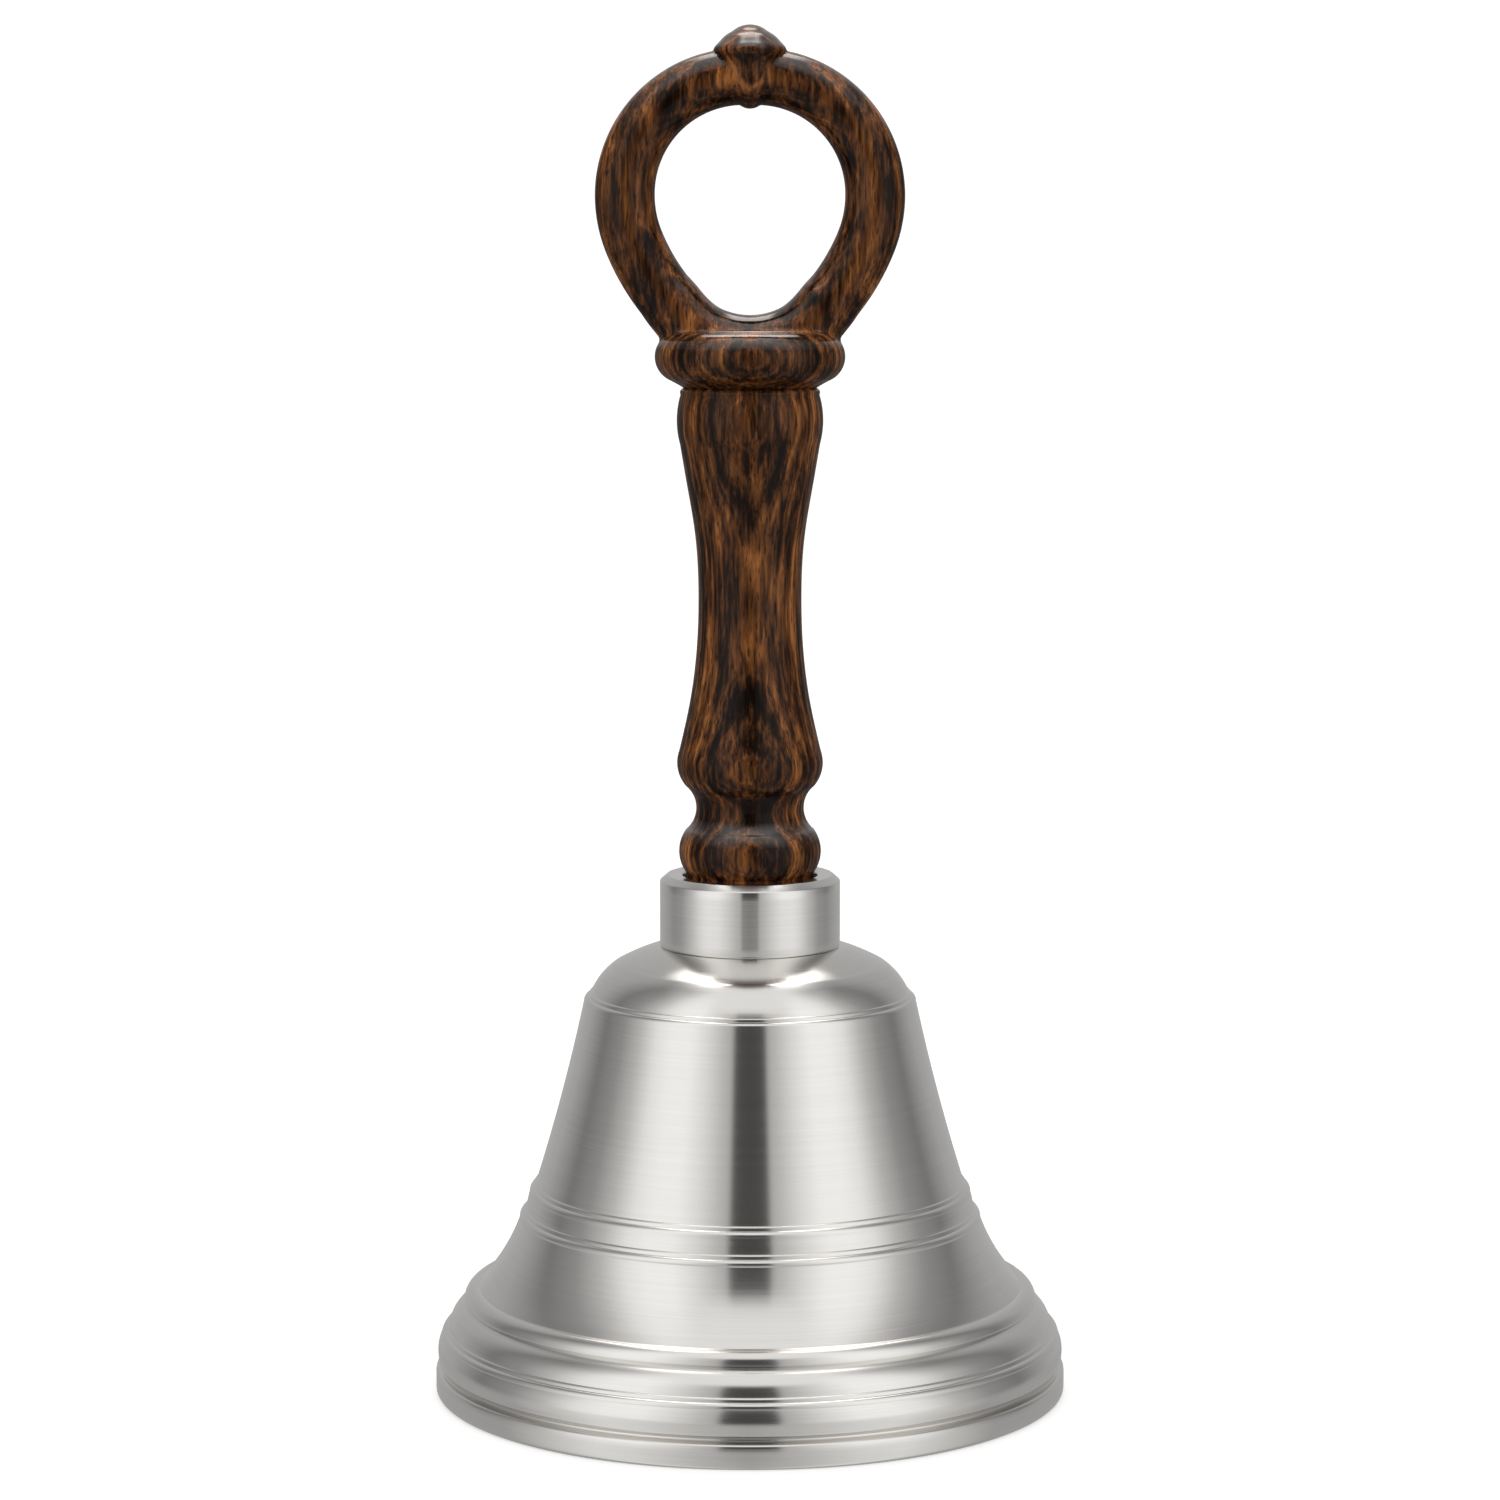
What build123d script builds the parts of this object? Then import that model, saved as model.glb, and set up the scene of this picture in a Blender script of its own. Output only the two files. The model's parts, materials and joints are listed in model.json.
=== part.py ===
from build123d import *
import math
import os

# Sanctus bell: a turned metal bell on a dark wooden handle that ends in a ring.
# Millimetres, +Z up. The mouth of the bell stands on the plane Z = 0 and the bell's axis
# is the Z axis. The ring of the handle lies in the XZ plane, and the clapper swings in it.
# Turned outlines are lists of (radius, height) points, drawn on Plane.XZ and revolved.

# ---- Driving dimensions -------------------------------------------------------------
mouth_radius = 55.8         # outside of the lip
shoulder_radius = 29.3      # top of the conical wall
crown_height = 79.4         # seat for the collar on top of the dome
crown_inner_height = 75.2   # flat under the crown, inside the bell
collar_radius = 15.86
collar_height = 12.7
grip_foot_height = 83.4     # end grain of the grip, on the web of the collar
handle_joint_height = 177.4 # where the ring head is glued on the grip
knop_top_height = 187.0
ring_side_height = 210.6    # where the ring is widest
ring_half_width = 21.66     # to the middle of the ring's section
ring_half_height = 20.36    # from the widest place to the middle of the top section
ring_side_section = 5.2     # radius of the ring's round section at its sides
ring_top_section = 4.88     # and under the knuckle
finial_height = 239.8       # tip of the knuckle

stud_radius = 3.0           # M6 tie stud
journal_radius = 2.5        # plain swivel journal at its lower end
stud_end_radius = 2.0       # M4 end for the swivel nut
thread_gap = 0.05           # radial gap in plain bores that stand for threads
running_gap = 0.05          # radial gap of a bearing
pivot_height = 53.0         # axis that the clapper swings on
pin_radius = 2.0
clapper_ball_radius = 11.0
clapper_ball_height = 13.6

os.makedirs("parts", exist_ok=True)


def section_plane(path, position):
    """The plane square to a path at a position from 0 to 1 along it."""
    return Plane(origin=path @ position, z_dir=path % position)


# ---- Bell shell: cast, turned outside and inside --------------------------------------
lip_edge_round = 0.9
lip_land = (mouth_radius - lip_edge_round, 0.0)
lip_foot = (mouth_radius, lip_edge_round)
lip_band_top = (mouth_radius, 3.8)
lip_edge_top = (55.15, 4.4)
lip_groove = (54.75, 4.6)
lip_bead_foot = (54.95, 4.75)
lip_bead_top = (54.95, 5.25)
hoop_groove = (54.7, 5.4)
hoop_underside = (55.0, 5.6)
hoop_foot = (55.25, 6.0)
hoop_top = (54.75, 10.1)
hoop_bead_top = (53.9, 11.1)
hoop_land_top = (53.8, 11.5)
hoop_ledge_top = (53.4, 11.8)
ovolo_top = (50.85, 15.55)
roll_groove = (50.4, 15.95)
roll_foot = (50.7, 16.45)
roll_top = (48.1, 18.8)
flare_top = (40.8, 30.9)
low_bead_top = (40.1, 32.1)
low_land_top = (40.0, 32.5)
low_ledge_top = (39.6, 32.85)
waist_band_top = (39.05, 35.4)
high_bead_top = (38.35, 36.6)
high_land_top = (38.25, 37.0)
high_ledge_top = (37.85, 37.35)
shoulder_foot = (shoulder_radius, 69.7)
shoulder_bead_top = (28.5, 70.6)
shoulder_land_top = (28.4, 70.95)
shoulder_ledge_top = (28.0, 71.3)
dome_haunch = (23.8, 76.3)
dome_top = (16.3, crown_height)

crown_hole_radius = stud_radius + 0.2
inner_crown_corner = (16.0, crown_inner_height)
inner_shoulder = (26.0, 68.4)
inner_waist = (35.0, 36.0)
inner_bow_top = (46.2, 16.0)
inner_lip = (50.4, 0.9)
inner_land = (51.2, 0.0)

with BuildPart() as bell_shell:
    with BuildSketch(Plane.XZ):
        with BuildLine():
            RadiusArc(lip_land, lip_foot, lip_edge_round, short_sagitta=True)
            Line(lip_foot, lip_band_top)
            ThreePointArc(lip_band_top, (55.6, 4.25), lip_edge_top)
            Polyline(lip_edge_top, lip_groove, lip_bead_foot)
            ThreePointArc(lip_bead_foot, (55.2, 5.0), lip_bead_top)
            Polyline(lip_bead_top, hoop_groove, hoop_underside)
            ThreePointArc(hoop_underside, (55.2, 5.75), hoop_foot)
            ThreePointArc(hoop_foot, (55.4, 8.0), hoop_top)
            ThreePointArc(hoop_top, (54.6, 10.75), hoop_bead_top)
            Line(hoop_bead_top, hoop_land_top)
            ThreePointArc(hoop_land_top, (53.65, 11.7), hoop_ledge_top)
            ThreePointArc(hoop_ledge_top, (52.65, 13.9), ovolo_top)
            Polyline(ovolo_top, roll_groove, roll_foot)
            ThreePointArc(roll_foot, (50.0, 18.15), roll_top)
            ThreePointArc(roll_top, (44.0, 24.2), flare_top)
            ThreePointArc(flare_top, (40.7, 31.7), low_bead_top)
            Line(low_bead_top, low_land_top)
            ThreePointArc(low_land_top, (39.85, 32.75), low_ledge_top)
            ThreePointArc(low_ledge_top, (39.4, 34.1), waist_band_top)
            ThreePointArc(waist_band_top, (38.9, 36.2), high_bead_top)
            Line(high_bead_top, high_land_top)
            ThreePointArc(high_land_top, (38.1, 37.25), high_ledge_top)
            ThreePointArc(high_ledge_top, (33.2, 53.4), shoulder_foot)
            ThreePointArc(shoulder_foot, (29.15, 70.25), shoulder_bead_top)
            Line(shoulder_bead_top, shoulder_land_top)
            ThreePointArc(shoulder_land_top, (28.25, 71.2), shoulder_ledge_top)
            ThreePointArc(shoulder_ledge_top, (26.5, 73.8), dome_haunch)
            ThreePointArc(dome_haunch, (20.4, 77.95), dome_top)
            Polyline(dome_top, (crown_hole_radius, crown_height),
                     (crown_hole_radius, crown_inner_height), inner_crown_corner)
            ThreePointArc(inner_crown_corner, (22.9, 72.8), inner_shoulder)
            ThreePointArc(inner_shoulder, (30.0, 53.0), inner_waist)
            ThreePointArc(inner_waist, (39.9, 25.4), inner_bow_top)
            ThreePointArc(inner_bow_top, (49.0, 9.0), inner_lip)
            ThreePointArc(inner_lip, (50.65, 0.25), inner_land)
            Line(inner_land, lip_land)
        make_face()
    revolve(axis=Axis.Z)
bell_shell.part.label = "bell_shell"

# ---- Collar: turned ferrule that carries the handle -----------------------------------
collar_top = crown_height + collar_height
collar_bore_radius = 11.85
collar_foot_round = 0.35
collar_chamfer_width = 1.35
collar_chamfer_height = 1.15
with BuildPart() as collar:
    with BuildSketch(Plane.XZ):
        with BuildLine():
            Polyline(
                (crown_hole_radius, crown_height),
                (collar_radius - collar_foot_round, crown_height),
                (collar_radius, crown_height + collar_foot_round),
                (collar_radius, collar_top - collar_chamfer_height),
                (collar_radius - collar_chamfer_width, collar_top),
                (collar_bore_radius + 0.4, collar_top),
                (collar_bore_radius, collar_top - 0.4),
                (collar_bore_radius, grip_foot_height),
                (crown_hole_radius, grip_foot_height),
                close=True,
            )
        make_face()
    revolve(axis=Axis.Z)
collar.part.label = "collar"

# ---- Grip: turned wood, with a mortise at each end ------------------------------------
grip_foot_radius = collar_bore_radius - 0.1
insert_radius = 4.75
insert_length = 20.0
tenon_radius = 6.0
tenon_length = 19.0
with BuildPart() as grip:
    with BuildSketch(Plane.XZ):
        with BuildLine():
            foot_corner = Line((0, grip_foot_height), (grip_foot_radius, grip_foot_height))
            foot_side = Line(foot_corner @ 1, (grip_foot_radius, 89.6))
            mouth_cove = ThreePointArc(foot_side @ 1, (11.2, 90.7), (11.05, 92.2))
            foot_bead = ThreePointArc(mouth_cove @ 1, (12.47, 96.4), (11.24, 100.0))
            neck = ThreePointArc(foot_bead @ 1, (9.45, 104.1), (11.31, 107.8))
            low_bulge = ThreePointArc(neck @ 1, (12.78, 111.4), (12.41, 114.0))
            waist = Spline(
                low_bulge @ 1,
                (10.54, 122.5),
                (9.25, 133.0),
                (9.01, 142.0),
                (9.6, 152.0),
                (10.95, 160.3),
                (12.19, 167.6),
            )
            high_bulge = ThreePointArc(waist @ 1, (12.68, 173.2), (12.1, 176.2))
            cock_bead = ThreePointArc(high_bulge @ 1, (12.15, 176.85), (11.6, handle_joint_height))
            Polyline(cock_bead @ 1, (0, handle_joint_height), (0, grip_foot_height))
        make_face()
    revolve(axis=Axis.Z)
    with Locations((0, 0, grip_foot_height)):
        Cylinder(insert_radius + thread_gap, insert_length + 0.5,
                 align=(Align.CENTER, Align.CENTER, Align.MIN), mode=Mode.SUBTRACT)
    with Locations((0, 0, handle_joint_height)):
        Cylinder(tenon_radius + thread_gap, tenon_length + 0.5,
                 align=(Align.CENTER, Align.CENTER, Align.MAX), mode=Mode.SUBTRACT)
grip.part.label = "grip"

# ---- Ring head: knop, ring and knuckle carved from one block --------------------------
# The ring is a flat arc over the top, tangent to a rounder one at each side, then eases
# into straight legs that run into the knop. A thinner arc between the legs rounds the
# bottom of the finger hole.
upper_side_radius = 20.28
crown_arc_radius = (
    ring_half_width**2 + ring_half_height**2 - 2 * ring_half_width * upper_side_radius
) / (2 * (ring_half_height - upper_side_radius))
ring_top_height = ring_side_height + ring_half_height
haunch_angle = math.atan2(
    crown_arc_radius - ring_half_height, ring_half_width - upper_side_radius)
haunch = (
    crown_arc_radius * math.cos(haunch_angle),
    ring_top_height - crown_arc_radius * (1 - math.sin(haunch_angle)),
)
side_arc_radius = 21.4
side_arc_turn = math.radians(22)
side_arc_end = (
    ring_half_width - side_arc_radius * (1 - math.cos(side_arc_turn)),
    ring_side_height - side_arc_radius * math.sin(side_arc_turn),
)
leg_arc_radius = 37.4
leg_lean = math.radians(38)
leg_arc_end = (
    side_arc_end[0] - leg_arc_radius * (math.cos(side_arc_turn) - math.cos(leg_lean)),
    side_arc_end[1] - leg_arc_radius * (math.sin(leg_lean) - math.sin(side_arc_turn)),
)
leg_length = 11.0
leg_root = (
    leg_arc_end[0] - leg_length * math.sin(leg_lean),
    leg_arc_end[1] - leg_length * math.cos(leg_lean),
)
hole_bottom_height = 190.0
hole_bottom_radius = 11.8
saddle_section = 4.9
saddle_centre = hole_bottom_height + hole_bottom_radius
saddle_arc_radius = hole_bottom_radius + saddle_section
saddle_end = (
    saddle_arc_radius * math.cos(leg_lean),
    saddle_centre - saddle_arc_radius * math.sin(leg_lean),
)
knuckle_tip_radius = 4.6
pendant_radius = 2.8
pendant_height = 228.2
knuckle_depth = 1.25        # front to back, compared with its width
with BuildPart() as knuckle:
    with BuildSketch(Plane.XZ):
        with BuildLine():
            knuckle_tip = CenterArc((0, finial_height - knuckle_tip_radius),
                                    knuckle_tip_radius, start_angle=90, arc_size=-40)
            pendant = CenterArc((0, pendant_height), pendant_radius,
                                start_angle=-40, arc_size=-50)
            Spline(knuckle_tip @ 1, (4.46, 237.75), (5.45, 236.7), (6.3, 235.5), (5.6, 234.0),
                   (5.1, 232.5), (4.9, 231.0), (4.4, 229.4), (3.4, 227.5), pendant @ 0)
            Line(pendant @ 1, knuckle_tip @ 0)
        make_face()
    revolve(axis=Axis.Z)
deep_knuckle = scale(knuckle.part, by=(1, knuckle_depth, 1))

with BuildPart() as ring_head:
    with BuildLine(Plane.XZ) as crown_path:
        RadiusArc((0, ring_top_height), haunch, crown_arc_radius)
    with BuildSketch(section_plane(crown_path.line, 0)):
        Circle(ring_top_section)
    sweep(path=crown_path.line)
    with BuildLine(Plane.XZ) as haunch_path:
        RadiusArc(haunch, (ring_half_width, ring_side_height), upper_side_radius)
    with BuildSketch(section_plane(haunch_path.line, 0)):
        Circle(ring_top_section)
    with BuildSketch(section_plane(haunch_path.line, 1)):
        Circle(ring_side_section)
    sweep(path=haunch_path.line, multisection=True)
    with BuildLine(Plane.XZ) as side_path:
        side_arc = RadiusArc(
            (ring_half_width, ring_side_height), side_arc_end, side_arc_radius)
        leg_arc = RadiusArc(side_arc @ 1, leg_arc_end, leg_arc_radius)
        Line(leg_arc @ 1, leg_root)
    with BuildSketch(section_plane(side_path.line, 0)):
        Circle(ring_side_section)
    sweep(path=side_path.line)
    with BuildLine(Plane.XZ) as saddle_path:
        RadiusArc(saddle_end, (0, saddle_centre - saddle_arc_radius), saddle_arc_radius)
    with BuildSketch(section_plane(saddle_path.line, 0)):
        Circle(saddle_section)
    sweep(path=saddle_path.line)
    mirror(about=Plane.YZ)
    with BuildSketch(Plane.XZ):
        with BuildLine():
            knop_cove = ThreePointArc((11.6, handle_joint_height), (12.5, 177.95), (13.9, 178.7))
            knop_bead = ThreePointArc(knop_cove @ 1, (16.53, 183.3), (13.6, knop_top_height))
            Polyline(knop_bead @ 1, (0, knop_top_height),
                     (0, handle_joint_height - tenon_length),
                     (tenon_radius, handle_joint_height - tenon_length),
                     (tenon_radius, handle_joint_height), knop_cove @ 0)
        make_face()
    revolve(axis=Axis.Z)
    add(deep_knuckle)
ring_head.part.label = "ring_head"

# ---- Tie stud and what it clamps --------------------------------------------------------
# From the grip down: threaded insert, collar, crown, leather and steel washers, lock
# washer and nut. Below the nut the stud carries the swivel that the clapper hangs from.
leather_thickness = 1.2
clamp_washer_thickness = 1.2
lock_washer_thickness = 1.6
clamp_nut_height = 5.0
clamp_washer_top = crown_inner_height - leather_thickness
lock_washer_top = clamp_washer_top - clamp_washer_thickness
clamp_nut_top = lock_washer_top - lock_washer_thickness
clamp_nut_bottom = clamp_nut_top - clamp_nut_height
stud_shoulder_height = clamp_nut_bottom - 0.4
swivel_washer_thickness = 0.6
hanger_top = stud_shoulder_height - swivel_washer_thickness - running_gap
hanger_web = 2.5
journal_end = hanger_top - hanger_web - running_gap
swivel_nut_height = 3.2
stud_tip = journal_end - swivel_nut_height - 0.5
stud_top = grip_foot_height + 17.0

with BuildPart() as thread_insert:
    with BuildSketch(Plane.XY.offset(grip_foot_height)):
        Circle(insert_radius)
    extrude(amount=insert_length)
    with Locations((0, 0, grip_foot_height)):
        Cylinder(stud_radius + thread_gap, 18.0,
                 align=(Align.CENTER, Align.CENTER, Align.MIN), mode=Mode.SUBTRACT)
thread_insert.part.label = "thread_insert"

with BuildPart() as tie_stud:
    with BuildSketch(Plane.XZ):
        with BuildLine():
            Polyline(
                (0, stud_tip),
                (stud_end_radius - 0.4, stud_tip),
                (stud_end_radius, stud_tip + 0.4),
                (stud_end_radius, journal_end),
                (journal_radius, journal_end),
                (journal_radius, stud_shoulder_height),
                (stud_radius, stud_shoulder_height),
                (stud_radius, stud_top - 0.6),
                (stud_radius - 0.6, stud_top),
                (0, stud_top),
                close=True,
            )
        make_face()
    revolve(axis=Axis.Z)
tie_stud.part.label = "tie_stud"

with BuildPart() as crown_washer:
    with BuildSketch(Plane.XY.offset(clamp_washer_top)):
        Circle(11.0)
        Circle(crown_hole_radius, mode=Mode.SUBTRACT)
    extrude(amount=leather_thickness)
crown_washer.part.label = "crown_washer"

with BuildPart() as clamp_washer:
    with BuildSketch(Plane.XY.offset(lock_washer_top)):
        Circle(9.0)
        Circle(crown_hole_radius, mode=Mode.SUBTRACT)
    extrude(amount=clamp_washer_thickness)
    chamfer(clamp_washer.edges().group_by(Axis.Z)[0].sort_by(SortBy.RADIUS)[-1], 0.3)
clamp_washer.part.label = "clamp_washer"

with BuildPart() as lock_washer:
    with BuildSketch(Plane.XY.offset(clamp_nut_top)):
        Circle(5.2)
        Circle(stud_radius + 0.1, mode=Mode.SUBTRACT)
        with Locations((4.2, 0)):
            Rectangle(3.0, 0.8, rotation=25, mode=Mode.SUBTRACT)
    extrude(amount=lock_washer_thickness)
lock_washer.part.label = "lock_washer"


def nut_outline(across_flats, bore_radius):
    """A hexagon with its bore, drawn in the current sketch."""
    RegularPolygon(radius=across_flats / 2, side_count=6, major_radius=False)
    Circle(bore_radius, mode=Mode.SUBTRACT)


def nut_cone(across_flats, bottom, height):
    """Half section of the turned cones that take the corners off both ends of a nut."""
    corner = across_flats / math.sqrt(3)
    fall = (corner - across_flats / 2) * math.tan(math.radians(30))
    with BuildSketch(Plane.XZ) as cone:
        Polygon(
            (0, bottom), (across_flats / 2, bottom), (corner, bottom + fall),
            (corner, bottom + height - fall), (across_flats / 2, bottom + height),
            (0, bottom + height), align=None,
        )
    return cone.sketch


with BuildPart() as clamp_nut:
    with BuildSketch(Plane.XY.offset(clamp_nut_bottom)):
        nut_outline(10.0, stud_radius + thread_gap)
    extrude(amount=clamp_nut_height)
    revolve(nut_cone(10.0, clamp_nut_bottom, clamp_nut_height), axis=Axis.Z,
            mode=Mode.INTERSECT)
clamp_nut.part.label = "clamp_nut"

with BuildPart() as swivel_washer:
    with BuildSketch(Plane.XY.offset(stud_shoulder_height - swivel_washer_thickness)):
        Circle(5.0)
        Circle(journal_radius + running_gap, mode=Mode.SUBTRACT)
    extrude(amount=swivel_washer_thickness)
swivel_washer.part.label = "swivel_washer"

with BuildPart() as swivel_nut:
    with BuildSketch(Plane.XY.offset(journal_end - swivel_nut_height)):
        nut_outline(7.0, stud_end_radius + thread_gap)
    extrude(amount=swivel_nut_height)
    revolve(nut_cone(7.0, journal_end - swivel_nut_height, swivel_nut_height), axis=Axis.Z,
            mode=Mode.INTERSECT)
swivel_nut.part.label = "swivel_nut"

# ---- Hanger: folded clevis that turns on the stud ---------------------------------------
cheek_gap = 4.35            # from the axis to the inside of a cheek
cheek_thickness = 1.8
hanger_half_width = 5.5
fold_radius = 1.6
cheek_bottom_radius = 5.0
with BuildPart() as hanger:
    with BuildSketch(Plane.YZ.offset(-hanger_half_width)):
        with Locations((0, (hanger_top + pivot_height) / 2)):
            Rectangle(2 * (cheek_gap + cheek_thickness), hanger_top - pivot_height)
        with Locations((0, (hanger_top - hanger_web + pivot_height) / 2)):
            Rectangle(2 * cheek_gap, hanger_top - hanger_web - pivot_height,
                      mode=Mode.SUBTRACT)
    extrude(amount=2 * hanger_half_width)
    fillet(hanger.edges().filter_by(Axis.X).group_by(Axis.Z)[-1], fold_radius)
    with BuildSketch(Plane.XZ.offset(-cheek_gap - cheek_thickness)):
        with Locations((0, pivot_height)):
            Circle(hanger_half_width)
    extrude(amount=2 * (cheek_gap + cheek_thickness))
    with BuildSketch(Plane.YZ.offset(-hanger_half_width)):
        with Locations((0, pivot_height)):
            Rectangle(2 * cheek_gap, 2 * (hanger_top - hanger_web - pivot_height))
    extrude(amount=2 * hanger_half_width, mode=Mode.SUBTRACT)
    with BuildSketch(Plane.XZ.offset(-cheek_gap - cheek_thickness)):
        with Locations((0, pivot_height)):
            Circle(pin_radius + 0.02)
    extrude(amount=2 * (cheek_gap + cheek_thickness), mode=Mode.SUBTRACT)
    with BuildSketch(Plane.XY.offset(hanger_top - hanger_web)):
        Circle(journal_radius + running_gap)
    extrude(amount=hanger_web, mode=Mode.SUBTRACT)
hanger.part.label = "hanger"

# ---- Pivot pin, its clip and the washers beside the clapper's eye -----------------------
pin_head_radius = 3.4
pin_head_thickness = 1.4
clip_thickness = 0.6
clip_groove_radius = 1.5
cheek_outside = cheek_gap + cheek_thickness
pin_end = cheek_outside + clip_thickness + 1.2
with BuildPart() as pivot_pin:
    with BuildSketch(Plane.YZ):
        with BuildLine():
            Polyline(
                (-cheek_outside - pin_head_thickness, pivot_height),
                (-cheek_outside - pin_head_thickness, pivot_height + pin_head_radius - 0.4),
                (-cheek_outside - pin_head_thickness + 0.4, pivot_height + pin_head_radius),
                (-cheek_outside, pivot_height + pin_head_radius),
                (-cheek_outside, pivot_height + pin_radius),
                (cheek_outside, pivot_height + pin_radius),
                (cheek_outside, pivot_height + clip_groove_radius),
                (cheek_outside + clip_thickness, pivot_height + clip_groove_radius),
                (cheek_outside + clip_thickness, pivot_height + pin_radius),
                (pin_end - 0.3, pivot_height + pin_radius),
                (pin_end, pivot_height + pin_radius - 0.3),
                (pin_end, pivot_height),
                close=True,
            )
        make_face()
    revolve(axis=Axis((0, 0, pivot_height), (0, 1, 0)))
pivot_pin.part.label = "pivot_pin"

with BuildPart() as pivot_clip:
    with BuildSketch(Plane.XZ.offset(-cheek_outside)):
        with Locations((0, pivot_height)):
            Circle(3.5)
            Circle(clip_groove_radius + 0.02, mode=Mode.SUBTRACT)
        with Locations((0, pivot_height - 2.4)):
            Rectangle(2.2, 3.4, mode=Mode.SUBTRACT)
        with Locations((0, pivot_height)):
            with PolarLocations(2.4, 2, start_angle=40, angular_range=100, endpoint=True):
                Circle(0.55, mode=Mode.SUBTRACT)
    extrude(amount=-clip_thickness)
pivot_clip.part.label = "pivot_clip"

eye_half_width = 3.0
bush_half_width = 3.2
with BuildPart() as cheek_washers:
    with BuildSketch(Plane.XZ.offset(-cheek_gap)):
        with Locations((0, pivot_height)):
            Circle(3.9)
            Circle(pin_radius + 0.1, mode=Mode.SUBTRACT)
    extrude(amount=cheek_gap - bush_half_width - running_gap)
    mirror(about=Plane.XZ)
cheek_washers.part.label = "cheek_washers"

# ---- Clapper: bush, rod with eye, jam nut and ball --------------------------------------
bush_radius = 3.0
eye_radius = 4.6
rod_top_radius = 2.0
rod_low_radius = 2.5
ball_seat_height = clapper_ball_height + math.sqrt(clapper_ball_radius**2 - 4.2**2)
jam_nut_height = 3.0
rod_end_height = clapper_ball_height - 2.0
with BuildPart() as clapper_bush:
    with BuildSketch(Plane.XZ.offset(-bush_half_width)):
        with Locations((0, pivot_height)):
            Circle(bush_radius)
            Circle(pin_radius + running_gap, mode=Mode.SUBTRACT)
    extrude(amount=2 * bush_half_width)
clapper_bush.part.label = "clapper_bush"

with BuildPart() as clapper_rod:
    with BuildSketch(Plane.XZ):
        Polygon(
            (0, rod_end_height), (rod_low_radius, rod_end_height),
            (rod_low_radius, ball_seat_height + jam_nut_height + 1.0),
            (rod_top_radius, pivot_height - eye_radius + 0.5),
            (0, pivot_height - eye_radius + 0.5), align=None,
        )
    revolve(axis=Axis.Z)
    with BuildSketch(Plane.XZ.offset(-eye_half_width)):
        with Locations((0, pivot_height)):
            Circle(eye_radius)
    extrude(amount=2 * eye_half_width)
    with BuildSketch(Plane.XZ.offset(-eye_half_width)):
        with Locations((0, pivot_height)):
            Circle(bush_radius)
    extrude(amount=2 * eye_half_width, mode=Mode.SUBTRACT)
    chamfer(clapper_rod.edges().filter_by(GeomType.CIRCLE).sort_by(SortBy.RADIUS)[-2:], 0.4)
clapper_rod.part.label = "clapper_rod"

with BuildPart() as clapper_jam_nut:
    with BuildSketch(Plane.XY.offset(ball_seat_height)):
        nut_outline(8.0, rod_low_radius + thread_gap)
    extrude(amount=jam_nut_height)
    revolve(nut_cone(8.0, ball_seat_height, jam_nut_height), axis=Axis.Z,
            mode=Mode.INTERSECT)
clapper_jam_nut.part.label = "clapper_jam_nut"

with BuildPart() as clapper_ball:
    with Locations((0, 0, clapper_ball_height)):
        Sphere(clapper_ball_radius)
    with BuildSketch(Plane.XY.offset(ball_seat_height)):
        Circle(clapper_ball_radius)
    extrude(amount=clapper_ball_radius, mode=Mode.SUBTRACT)
    with BuildSketch(Plane.XY.offset(rod_end_height)):
        Circle(rod_low_radius + thread_gap)
    extrude(amount=clapper_ball_radius + 2.0, mode=Mode.SUBTRACT)
clapper_ball.part.label = "clapper_ball"

pieces = [
    bell_shell, collar, grip, ring_head, thread_insert, tie_stud, crown_washer,
    clamp_washer, lock_washer, clamp_nut, swivel_washer, swivel_nut, hanger, pivot_pin,
    pivot_clip, cheek_washers, clapper_bush, clapper_rod, clapper_jam_nut, clapper_ball,
]
for piece in pieces:
    export_step(piece.part, f"parts/{piece.part.label}.step")
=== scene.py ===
import json
import math
import bpy
import numpy as np
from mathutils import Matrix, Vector


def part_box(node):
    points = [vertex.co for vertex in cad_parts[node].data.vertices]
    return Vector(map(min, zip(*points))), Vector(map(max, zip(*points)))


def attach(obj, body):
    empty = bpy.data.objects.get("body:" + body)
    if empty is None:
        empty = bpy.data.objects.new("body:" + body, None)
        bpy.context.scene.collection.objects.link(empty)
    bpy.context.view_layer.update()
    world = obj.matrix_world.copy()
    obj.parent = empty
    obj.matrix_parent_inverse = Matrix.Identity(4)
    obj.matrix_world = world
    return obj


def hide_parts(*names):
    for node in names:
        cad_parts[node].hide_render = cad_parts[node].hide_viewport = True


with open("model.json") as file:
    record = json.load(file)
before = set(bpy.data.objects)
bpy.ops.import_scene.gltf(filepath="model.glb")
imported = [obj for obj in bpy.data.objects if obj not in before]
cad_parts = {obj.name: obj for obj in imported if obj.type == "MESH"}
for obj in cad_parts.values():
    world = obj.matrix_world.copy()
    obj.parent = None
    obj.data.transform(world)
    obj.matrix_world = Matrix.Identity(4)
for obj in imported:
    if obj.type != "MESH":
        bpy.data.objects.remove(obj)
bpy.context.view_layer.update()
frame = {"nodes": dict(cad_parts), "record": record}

# Sanctus bell, in metres, in the frame of the CAD model: +Z up, the lip on Z = 0.
# Sizes below are in millimetres and MM turns them into metres.
MM = 0.001
TURNED_SEGMENTS = 288       # facets around a turned piece
OUTLINE_STEP = 0.35         # spacing of points along a turned outline, in millimetres
CREASE_ANGLE = math.radians(24)


def top_of(node):
    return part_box(node)[1][2] / MM


def bottom_of(node):
    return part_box(node)[0][2] / MM


def radius_of(node):
    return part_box(node)[1][0] / MM


# ---- Camera ---------------------------------------------------------------------------
CAMERA_DISTANCE = 0.772
CAMERA_HEIGHT = 0.204
AIM_HEIGHT = 0.114
LENS = 106.3


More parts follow.
